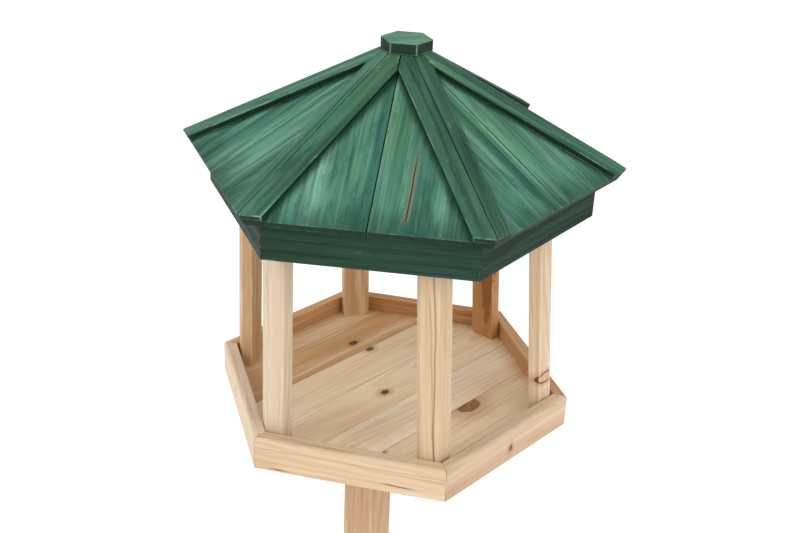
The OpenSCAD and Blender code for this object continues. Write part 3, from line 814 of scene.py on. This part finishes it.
# Each knot: where it lies in the tray from its centre, its half length and half width, its colour
floor_knots = [
    (-0.0461, 0.0531, 0.0042, 0.0026, "#4a2c18"), (-0.0296, 0.0474, 0.0036, 0.0024, "#5a3720"),
    (-0.0004, -0.0152, 0.0036, 0.0027, "#4a2c18"), (0.0665, -0.0135, 0.0115, 0.0095, "#a0683f"),
    (-0.0067, -0.0977, 0.0016, 0.0012, "#5a3720"), (0.0187, -0.0969, 0.0024, 0.0014, "#4a2c18"),
]
plank_edges = [-rail_inside] + [(0.36 + k) * plank_wide for k in (-2, -1, 0, 1, 2)] + [rail_inside]
for k in range(6):
    low_y = plank_edges[k] + (half_joint if k else 0)
    high_y = plank_edges[k + 1] - (half_joint if k < 5 else 0)
    knots = []
    for knot_x, knot_y, *sizes in floor_knots:
        along, across = in_plank_axes(knot_x, knot_y)
        if low_y < across < high_y:
            knots.append((along, across, *sizes))
    site = tray_site @ about_z(plank_turn)
    plank = sawn_stick(site, (-0.15, low_y, -plank_thick), (0.15, high_y, 0), [
        ((rail_inside * cos(mitre * (2 * s + 1)), rail_inside * sin(mitre * (2 * s + 1)), 0),
         (cos(mitre * (2 * s + 1)), sin(mitre * (2 * s + 1)), 0)) for s in range(6)
    ])
    tint = [("#fbe6c8", "#f0cda6", "#cc9a6c", 0.2), ("#fdebd2", "#f3d8b4", "#caa074", 0.0),
            ("#fbe4c4", "#eecb9f", "#c19265", 0.2), ("#f8e8cf", "#eed5b2", "#c49a6e", 0.0),
            ("#efcfa2", "#dcae78", "#ac7648", 0.7), ("#f6dfbe", "#e6c598", "#b9885a", 0.35)][k]
    plank_fir = bare_fir("planed_fir_floor_%d" % (k + 1), *tint[:3], knots, heartwood=tint[3])
    name = "floor_plank_%d" % (k + 1)
    finish_stick(plank, name, site, 0.0004, 70 + k, plank_fir, [name])


# ---- Tray rails: six planed fir strips round the floor, mitred and pinned at the corners.
# Their outer top edges are rounded over.
rail_round = 0.003
rail_out = -rail_low[1]
for i in range(6):
    site = about_z(60 * i - 90)
    rounding = []
    for step in (15, 37.5, 52.5, 75):
        out, lift = cos(radians(step)), sin(radians(step))
        centre = Vector((rail_out - rail_round, 0, rail_high[2] - rail_round))
        rounding.append((centre + Vector((out, 0, lift)) * rail_round, (out, 0, lift)))
    rail = sawn_stick(site, (rail_out - rail_thick, -0.2, rail_low[2]), (rail_out, 0.2, rail_high[2]), [
        ((0, 0, 0), (-sin(mitre), cos(mitre), 0)), ((0, 0, 0), (-sin(mitre), -cos(mitre), 0)),
    ] + rounding)
    rail_site = site @ Matrix.Translation((rail_out, 0, rail_high[2])) @ on_edge
    marks = {
        1: [(0.002, -0.0155, 0.0018, 0.0028, "#8a5530")], 5: [(-0.012, -0.010, 0.0016, 0.0012, "#9a6a44")],
    }
    lines = {
        0: [
            (0.020, 0.054, -0.0195, -0.03, 0.9), (-0.066, -0.042, -0.0255, 0.0, 0.9),
            (-0.08, 0.08, -0.0085, 0, 0.25),
        ],
    }
    tint = [
        ("#ddc3a4", "#cfac82", "#a4764e"), ("#e4ccb2", "#d6b998", "#ac815a"),
        ("#e0b88c", "#cf9f70", "#9a6a40"), ("#cf9c69", "#bd8654", "#86552e"),
        ("#d8aa78", "#c69562", "#8f6038"), ("#e4cfb8", "#d9be9e", "#b0875f"),
    ][i]
    rail_fir = bare_fir("planed_fir_rail_%d" % (i + 1), *tint, marks.get(i, ()), 0.0045, 0.016, 0.1,
                        lines.get(i, ()), mitred=rail_out * tan(mitre))
    name = "tray_rail_%d" % (i + 1)
    finish_stick(rail, name, rail_site, 0.0005, 80 + i, rail_fir, [name])


# ---- Posts: six planed fir sticks, five-sided so that they sit in the corners of the tray.
# They lean in a little, screwed up through the floor and down through the ceiling battens.
post_wide, post_side = 0.023, 0.009
post_point = post_wide / 2 * tan(mitre)
post_foot = rail_inside / cos(mitre) - 0.00119
post_lean, post_sway = radians(3.1), radians(1.7)
post_yaw = 0.8
post_rise = 0.172
post_top = rail_top + post_rise
for i in range(6):
    corner = about_z(60 * i - 60 - post_yaw)
    site = (Matrix.Translation(corner @ Vector((post_foot, 0, floor_high[2])))
            @ Matrix.Rotation(-post_sway, 4, "Y") @ corner @ Matrix.Rotation(-post_lean, 4, "Y"))
    post = sawn_stick(site, (-post_point - post_side, -post_wide / 2, -0.01), (0, post_wide / 2, 0.21), [
        ((0, 0, 0), (cos(mitre), sin(mitre), 0)), ((0, 0, 0), (cos(mitre), -sin(mitre), 0)),
    ])
    saw(post, Vector((0, 0, floor_high[2])), Vector((0, 0, -1)))
    saw(post, Vector((0, 0, post_top)), Vector((0, 0, 1)))
    standing = site @ Matrix(((0, 0, 1, 0), (0, 1, 0, 0), (-1, 0, 0, 0), (0, 0, 0, 1))).transposed()
    tint = [("#e0cab0", "#d5b895", "#ae825c", 0.0), ("#ebd6bd", "#dcc09e", "#a8794c", 0.2),
            ("#e2b47e", "#d19d63", "#a56e3c", 0.3), ("#dcb68a", "#cba070", "#97683c", 0.3),
            ("#d4b48e", "#c49e73", "#966d45", 0.2), ("#dbc8b2", "#d2ba9d", "#ad8764", 0.0)][i]
    lines = [(0.0, 0.2, -0.0022, -0.008, 0.6), (0.0, 0.15, -0.0018, -0.034, 0.35)] if i == 0 else ()
    flame = [(0.125, -0.005, 0.105, 0.0075, "#93602f")] if i == 2 else ()
    post_fir = bare_fir("planed_fir_post_%d" % (i + 1), *tint[:3], flame, 0.0036, 0.012, tint[3], lines,
                        curl=(0.0335, 0.0135) if i == 1 else None)
    name = "post_%d" % (i + 1)
    finish_stick(post, name, standing, 0.0007, 90 + i, post_fir, [name])


# ---- Inside the roof: three fir battens over the post tops and a block under the peak.
# The battens tie the posts to the fascia, and the block takes the upper nails of the roof.
hidden_fir = bare_fir("planed_fir_inside", "#e8d0ac", "#d6b68c", "#ac8255")
post_top_out = post_foot - (post_top - floor_high[2]) * tan(post_lean)
ceiling_step = (post_top_out - post_point - post_side / 2) * cos(mitre)
fascia_inside = fascia_mid - fascia_thick
ceiling_half, ceiling_thick = 0.018, 0.010
for k in (-1, 0, 1):
    site = top @ about_z(roof_turn)
    strip = sawn_stick(
        site, (-0.2, k * ceiling_step - ceiling_half, post_rise),
        (0.2, k * ceiling_step + ceiling_half, post_rise + ceiling_thick),
        [
            (
                (fascia_inside * cos(mitre * (2 * s + 1)), fascia_inside * sin(mitre * (2 * s + 1)), 0),
                (cos(mitre * (2 * s + 1)), sin(mitre * (2 * s + 1)), 0),
            )
            for s in range(6)
        ],
    )
    name = "ceiling_batten_%d" % (k + 2)
    finish_stick(strip, name, site, 0.0006, 100 + k, hidden_fir, [name])

block_corner, block_deep = 0.042, 0.030
block_flat = block_corner * cos(mitre)
soffit = board_apex - board_thick / cos(pitch)
facing = [Vector((cos(mitre * (2 * s + 1)), sin(mitre * (2 * s + 1)), 0)) for s in range(6)]
block = sawn_stick(top @ about_z(roof_turn), (-0.06, -0.06, soffit - block_deep), (0.06, 0.06, soffit + 0.01),
                   [(n * block_flat, n) for n in facing]
                   + [((0, 0, soffit), n * sin(pitch) + Vector((0, 0, cos(pitch)))) for n in facing])
finish_stick(block, "apex_block", top @ about_z(roof_turn), 0.0006, 105, hidden_fir, [
    "apex_block",
])


# ---- Under the tray: two fir cleats screwed across the planks and a plate that carries them.
# The plate is screwed to the cleats from below and down into the top of the pole.
cleat_low, cleat_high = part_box("floor_cleat_1")
plate_low, plate_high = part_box("pole_plate")
pole_low, pole_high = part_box("pole")
pole_x = (pole_low[0] + pole_high[0]) / 2
cleat_out, cleat_half, cleat_short = 0.045, 0.016, 0.008
plate_half_long, plate_half_wide = 0.065, 0.045
for number, side in ((1, -1), (2, 1)):
    site = about_z(plank_turn)
    reach = rail_inside - cleat_short
    cleat = sawn_stick(
        site, (side * cleat_out - cleat_half, -reach, cleat_low[2]),
        (side * cleat_out + cleat_half, reach, cleat_high[2]), [],
    )
    name = "floor_cleat_%d" % number
    finish_stick(cleat, name, site @ about_z(90), 0.0008, 110 + number, hidden_fir, [name])
site = Matrix.Translation((pole_x, 0, 0)) @ about_z(plank_turn)
plate = sawn_stick(
    site, (-plate_half_long, -plate_half_wide, plate_low[2]),
    (plate_half_long, plate_half_wide, plate_high[2]), [],
)
finish_stick(plate, "pole_plate", site, 0.0012, 114, hidden_fir, ["pole_plate"])


# ---- Pole: a round planed fir pole, 40 mm across, turned from one stick.
# It stands on the crossed feet and is held by a long screw at each end and by four braces.
pole_fir = bare_fir("turned_fir_pole", "#cbaa88", "#bb9874", "#8e6a48", [
    (0.030, 0.012, 0.0022, 0.0016, "#7a5232"), (0.190, -0.006, 0.0036, 0.0028, "#5a3720"),
    (0.330, 0.010, 0.0030, 0.0022, "#6a4528"), (0.520, -0.012, 0.0034, 0.0026, "#4a2c18"),
    (0.640, 0.004, 0.0028, 0.0022, "#6a4528"),
], 0.0040, 0.012)
pole_wide = pole_high[0] - pole_low[0]
round_stick = bmesh.new()
bmesh.ops.create_cone(
    round_stick, cap_ends=True, segments=96, radius1=pole_wide / 2, radius2=pole_wide / 2,
    depth=pole_high[2] - pole_low[2],
    matrix=Matrix.Translation((pole_x, 0, (pole_low[2] + pole_high[2]) / 2)),
)
hanging = Matrix.Translation((pole_x, 0, pole_high[2])) @ Matrix(
    ((0, 0, -1, 0), (1, 0, 0, 0), (0, -1, 0, 0), (0, 0, 0, 1))).transposed()
pole = finish_stick(round_stick, "pole", hanging, 0.0008, 123, pole_fir, ["pole"])
for face in pole.data.polygons:
    face.use_smooth = abs(face.normal.z) < 0.9


# ---- Feet: two square fir bars halved into each other under the pole, and four braces.
# The braces are sawn at 45 degrees and screwed to the pole and to the bars.
foot_fir = bare_fir("planed_fir_feet", "#ead2ae", "#d9ba90", "#ae8457", ring=0.005, waviness=0.012)
bar_long, bar_wide, bar_high = 0.380, 0.038, 0.028


def sawn_outline(site, outline, half_width):
    """A stick cut to an outline in its X and Z, with its width along Y."""
    b = bmesh.new()
    near = [b.verts.new(site @ Vector((x, -half_width, z))) for x, z in outline]
    far = [b.verts.new(site @ Vector((x, half_width, z))) for x, z in outline]
    b.faces.new(near)
    b.faces.new(far[::-1])
    for k in range(len(outline)):
        n = (k + 1) % len(outline)
        b.faces.new((near[k], far[k], far[n], near[n]))
    return b


half, lap = bar_long / 2, bar_wide / 2 + 0.0002
lower = [(-half, 0), (half, 0), (half, bar_high), (lap, bar_high), (lap, bar_high / 2),
         (-lap, bar_high / 2), (-lap, bar_high), (-half, bar_high)]
upper = [(-half, 0), (-lap, 0), (-lap, bar_high / 2), (lap, bar_high / 2), (lap, 0),
         (half, 0), (half, bar_high), (-half, bar_high)]
for number, outline in ((1, lower), (2, upper)):
    site = Matrix.Translation((pole_x, 0, 0)) @ about_z(45 + 90 * (number - 1))
    name = "foot_bar_%d" % number
    finish_stick(sawn_outline(site, outline, bar_wide / 2), name, site, 0.0012, 130 + number, foot_fir,
                 [name])

brace_reach, brace_thick, brace_half = 0.110, 0.024, 0.009
brace_out = pole_wide / 2 + brace_reach
brace_cut = brace_thick * 2 ** 0.5
brace_in = 0.0179
brace_top = bar_high + brace_out - brace_in
for i in range(4):
    site = Matrix.Translation((pole_x, 0, 0)) @ about_z(45 + 90 * i)
    outline = [(brace_in, brace_top), (brace_in, brace_top - brace_cut), (brace_out - brace_cut, bar_high),
               (brace_out, bar_high)]
    brace = sawn_outline(site, outline, brace_half)
    name = "foot_brace_%d" % (i + 1)
    finish_stick(brace, name, site @ Matrix.Rotation(radians(45), 4, "Y"), 0.0008, 140 + i, foot_fir,
                 [name])


# ---- Fixings: zinc-plated wood screws, and wire nails driven flush.
# The roof nails are stained over with the wood, and the pins of the tray are filled.
def zinc_plate():
    """Bright zinc plate on steel: grey with a faint mottle, satin, dull where it was driven."""
    made = bpy.data.materials.new("zinc_plated_steel")
    made.use_nodes = True
    tree = made.node_tree
    shader = tree.nodes["Principled BSDF"]
    here = add_node(tree, "ShaderNodeTexCoord").outputs["Object"]
    mottle = add_node(tree, "ShaderNodeTexNoise", None, {
        "Vector": here, "Scale": 900.0, "Detail": 3.0,
    }).outputs["Fac"]
    tree.links.new(
        add_node(tree, "ShaderNodeMix", {"data_type": "RGBA"}, {
            0: mottle, 6: linear("#8f9296"), 7: linear("#cfd1d2"),
        }).outputs[2],
        shader.inputs["Base Color"],
    )
    shader.inputs["Metallic"].default_value = 1.0
    tree.links.new(
        add_node(tree, "ShaderNodeMapRange", {"interpolation_type": "SMOOTHSTEP"}, {
            "Value": mottle, "From Min": 0.3, "From Max": 0.7, "To Min": 0.28, "To Max": 0.5,
        }).outputs["Result"],
        shader.inputs["Roughness"],
    )
    bump = add_node(tree, "ShaderNodeBump", None, {"Height": mottle, "Strength": 0.1, "Distance": 0.0001})
    tree.links.new(bump.outputs["Normal"], shader.inputs["Normal"])
    return made


def covered_head(name, one, two):
    """A nail head under stain or filler: the wood's own colour, slightly uneven and matt."""
    made = bpy.data.materials.new(name)
    made.use_nodes = True
    tree = made.node_tree
    shader = tree.nodes["Principled BSDF"]
    here = add_node(tree, "ShaderNodeTexCoord").outputs["Object"]
    spots = add_node(tree, "ShaderNodeTexNoise", None, {
        "Vector": here, "Scale": 700.0, "Detail": 3.0,
    }).outputs["Fac"]
    tree.links.new(
        add_node(tree, "ShaderNodeMix", {"data_type": "RGBA"}, {
            0: spots, 6: linear(one), 7: linear(two),
        }).outputs[2],
        shader.inputs["Base Color"],
    )
    shader.inputs["Roughness"].default_value = 0.65
    bump = add_node(tree, "ShaderNodeBump", None, {"Height": spots, "Strength": 0.2, "Distance": 0.0001})
    tree.links.new(bump.outputs["Normal"], shader.inputs["Normal"])
    return made


def fixing_tree(name, countersunk):
    """A tree that sets one nail or screw at each point, along the point's own direction."""
    tree = bpy.data.node_groups.new(name, "GeometryNodeTree")
    tree.is_modifier = True
    tree.interface.new_socket("Geometry", in_out="INPUT", socket_type="NodeSocketGeometry")
    for size in ("Length", "Shank", "Head", "Head depth"):
        tree.interface.new_socket(size, in_out="INPUT", socket_type="NodeSocketFloat")
    tree.interface.new_socket("Finish", in_out="INPUT", socket_type="NodeSocketMaterial")
    tree.interface.new_socket("Geometry", in_out="OUTPUT", socket_type="NodeSocketGeometry")
    given = add_node(tree, "NodeGroupInput").outputs
    halved = [
        add_node(tree, "ShaderNodeMath", {"operation": "MULTIPLY"}, {0: given[k], 1: 0.5}).outputs["Value"]
        for k in ("Shank", "Head")
    ]
    shank = add_node(tree, "GeometryNodeMeshCylinder", None, {
        "Vertices": 12, "Radius": halved[0], "Depth": given["Length"],
    }).outputs["Mesh"]
    drop = add_node(tree, "ShaderNodeCombineXYZ", None, {
        "Z": add_node(tree, "ShaderNodeMath", {"operation": "MULTIPLY"}, {
            0: given["Length"], 1: -0.5,
        }).outputs["Value"],
    }).outputs["Vector"]
    shank = add_node(tree, "GeometryNodeTransform", None, {
        "Geometry": shank, "Translation": drop,
    }).outputs["Geometry"]
    under = halved[0] if countersunk else halved[1]
    head = add_node(tree, "GeometryNodeMeshCone", None, {
        "Vertices": 20, "Radius Top": halved[1], "Radius Bottom": under, "Depth": given["Head depth"],
    }).outputs["Mesh"]
    sink = add_node(tree, "ShaderNodeCombineXYZ", None, {
        "Z": add_node(tree, "ShaderNodeMath", {"operation": "MULTIPLY"}, {
            0: given["Head depth"], 1: -1.0,
        }).outputs["Value"],
    }).outputs["Vector"]
    head = add_node(tree, "GeometryNodeTransform", None, {
        "Geometry": head, "Translation": sink,
    }).outputs["Geometry"]
    if countersunk:
        bars = []
        for turned in (0.0, pi / 2):
            bar = add_node(tree, "GeometryNodeMeshCube", None, {
                "Size": (0.0042, 0.0009, 0.0016),
            }).outputs["Mesh"]
            bars.append(add_node(tree, "GeometryNodeTransform", None, {
                "Geometry": bar, "Rotation": (0.0, 0.0, turned),
            }).outputs["Geometry"])
        recess = add_node(tree, "GeometryNodeMeshBoolean", {"operation": "DIFFERENCE"}, {"Mesh 1": head})
        for bar in bars:
            tree.links.new(bar, recess.inputs["Mesh 2"])
        head = recess.outputs["Mesh"]
    whole = add_node(tree, "GeometryNodeJoinGeometry", None, {"Geometry": shank})
    tree.links.new(head, whole.inputs["Geometry"])
    away = add_node(tree, "GeometryNodeInputNamedAttribute", {"data_type": "FLOAT_VECTOR"}, {"Name": "drive"})
    turned = add_node(tree, "FunctionNodeAlignRotationToVector", {"axis": "Z"}, {
        "Vector": away.outputs["Attribute"],
    }).outputs["Rotation"]
    spread = add_node(tree, "GeometryNodeInstanceOnPoints", None, {
        "Points": given["Geometry"], "Instance": whole.outputs["Geometry"], "Rotation": turned,
    }).outputs["Instances"]
    real = add_node(tree, "GeometryNodeRealizeInstances", None, {"Geometry": spread}).outputs["Geometry"]
    faced = add_node(tree, "GeometryNodeSetMaterial", None, {
        "Geometry": real, "Material": given["Finish"],
    }).outputs["Geometry"]
    add_node(tree, "NodeGroupOutput", None, {"Geometry": faced})
    return tree


nail_tree = fixing_tree("wire_nail", False)
screw_tree = fixing_tree("countersunk_screw", True)


def drive(name, tree, spots, sizes, finish, node, proud=0.00005):
    """Nails or screws at the spots, each a head's middle and the way it points out. Nails are set
    a little below the wood, and screw heads stand a hair proud."""
    seeds = bpy.data.meshes.new(name)
    seeds.from_pydata([tuple(Vector(at) + Vector(out).normalized() * proud) for at, out in spots], [], [])
    ways = seeds.attributes.new("drive", "FLOAT_VECTOR", "POINT")
    for k, (at, out) in enumerate(spots):
        ways.data[k].vector = Vector(out).normalized()
    holder = bpy.data.objects.new(name + "_points", seeds)
    bpy.context.scene.collection.objects.link(holder)
    layer = holder.modifiers.new("fixings", "NODES")
    layer.node_group = tree
    values = dict(zip(("Length", "Shank", "Head", "Head depth"), sizes))
    values["Finish"] = finish
    for socket in tree.interface.items_tree:
        if socket.in_out == "INPUT" and socket.name in values:
            layer[socket.identifier] = values[socket.name]
    evaluated = holder.evaluated_get(bpy.context.evaluated_depsgraph_get())
    mesh = bpy.data.meshes.new_from_object(evaluated)
    mesh.name = name
    bpy.data.objects.remove(holder)
    piece = bpy.data.objects.new(name, mesh)
    bpy.context.scene.collection.objects.link(piece)
    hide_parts(node)
    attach(piece, "root")


# Shank, head and depth of head; each length is given where the fixing is driven
nail_wire, screw_wire, pole_screw_wire = (
    (0.0015, 0.003, 0.0008), (0.0035, 0.007, 0.00175), (0.006, 0.012, 0.003),
)
under_stain = -0.0002
zinc = zinc_plate()
stained_head = covered_head("stained_over_nail_head", "#4b7a63", "#5f8f77")
filled_head = covered_head("filled_nail_head", "#dcc09a", "#e8d2b0")
fascia_down = (fascia_mid - fascia_thick / 2) / cos(pitch)
block_down = (block_flat - 0.005) / cos(pitch)
roof_nails, seam_nails, ceiling_nails = [], [], []
for i in range(6):
    slope, out = roof_slope(i), roof_slope(i).to_3x3() @ Vector((0, 0, 1))
    for side in (-1, 1):
        for down in (block_down, fascia_down):
            roof_nails.append(
                (slope @ Vector((down, side * batten_edge(down, batten_wide / 2), batten_thick)), out),
            )
        seam_nails.append((slope @ Vector((fascia_down, side * 0.006, 0)), out))
ceiling_end = ceiling_step / cos(mitre) - fascia_inside * tan(mitre)
for i in (1, 2, 4, 5):
    for across in (0.008 - ceiling_end, fascia_corner / 2 - 0.0175):
        spot = Vector((fascia_mid, across if i % 3 == 1 else -across, post_rise + ceiling_thick / 2))
        ceiling_nails.append((roof_side(i) @ spot, roof_side(i).to_3x3() @ Vector((1, 0, 0))))
drive("roof_nails", nail_tree, roof_nails + seam_nails, (0.022, *nail_wire), stained_head,
      "roof_fixings", under_stain)
drive("ceiling_nails", nail_tree, ceiling_nails, (0.018, *nail_wire), stained_head, "roof_fixings",
      under_stain)

post_mid = post_point + post_side / 2
spots = []
for i in range(6):
    corner = about_z(60 * i - 60 - post_yaw)
    swayed = Vector((-(post_top - floor_high[2]) * tan(post_sway), 0, 0))
    spots.append(
        (corner @ Vector((post_top_out - post_mid, 0, post_top + ceiling_thick)) + swayed, (0, 0, 1)),
    )
drive("post_top_screws", screw_tree, spots, (0.030, *screw_wire), zinc, "roof_fixings")

mitre_pin_along, floor_pin_along = 0.0675, 0.03625
tray_pins, floor_pins, foot_screws = [], [], []
for i in range(6):
    site = about_z(60 * i - 90)
    out = site.to_3x3() @ Vector((1, 0, 0))
    for share in (0.25, 0.75):
        height = rail_high[2] - (rail_high[2] - rail_low[2]) * share
        tray_pins.append((site @ Vector((rail_out, mitre_pin_along, height)), out))
    for across in (-floor_pin_along, floor_pin_along):
        floor_pins.append((site @ Vector((rail_out, across, floor_high[2] - plank_thick / 2)), out))
    corner = about_z(60 * i - 60 - post_yaw)
    foot_screws.append((corner @ Vector((post_foot - post_mid, 0, floor_low[2])), (0, 0, -1)))
drive("mitre_pins", nail_tree, tray_pins, (0.0105, *nail_wire), filled_head, "tray_fixings", under_stain)
drive("floor_pins", nail_tree, floor_pins, (0.022, *nail_wire), filled_head, "tray_fixings", under_stain)
drive("post_foot_screws", screw_tree, foot_screws, (0.030, *screw_wire), zinc, "tray_fixings")

cleat_screws, plate_screws = [], []
across_planks = about_z(plank_turn)
limit = rail_inside - cleat_short - 0.008
for side in (-1, 1):
    for k in range(6):
        middle = (plank_edges[k] + plank_edges[k + 1]) / 2
        spot = Vector((side * (cleat_out + cleat_half / 2), max(-limit, min(limit, middle)), cleat_low[2]))
        cleat_screws.append((across_planks @ spot, (0, 0, -1)))
pole_across = in_plank_axes(pole_x, 0)[1]
for side in (-1, 1):
    for across in (-0.03, 0.03):
        spot = Vector((side * (cleat_out - cleat_half / 2), pole_across + across, plate_low[2]))
        plate_screws.append((across_planks @ spot, (0, 0, -1)))
drive("cleat_screws", screw_tree, cleat_screws, (0.018, *screw_wire), zinc, "tray_fixings")
drive("plate_screws", screw_tree, plate_screws, (0.022, *screw_wire), zinc, "tray_fixings")
drive(
    "pole_top_screw", screw_tree, [((pole_x, 0, plate_high[2]), (0, 0, 1))], (0.072, *pole_screw_wire),
    zinc, "tray_fixings",
)
drive("pole_foot_screw", screw_tree, [((pole_x, 0, 0.001), (0, 0, -1))], (0.078, *pole_screw_wire), zinc,
      "base_fixings")
spots = []
for i in range(4):
    site = Matrix.Translation((pole_x, 0, 0)) @ about_z(45 + 90 * i)
    out = site.to_3x3() @ Vector((1, 0, 1))
    for along, height in ((pole_wide / 2 + 0.010, bar_high + 0.100), (brace_out - 0.010, bar_high + 0.010)):
        spots.append((site @ Vector((along, 0, height)), out))
drive("brace_screws", screw_tree, spots, (0.036, *screw_wire), zinc, "base_fixings")
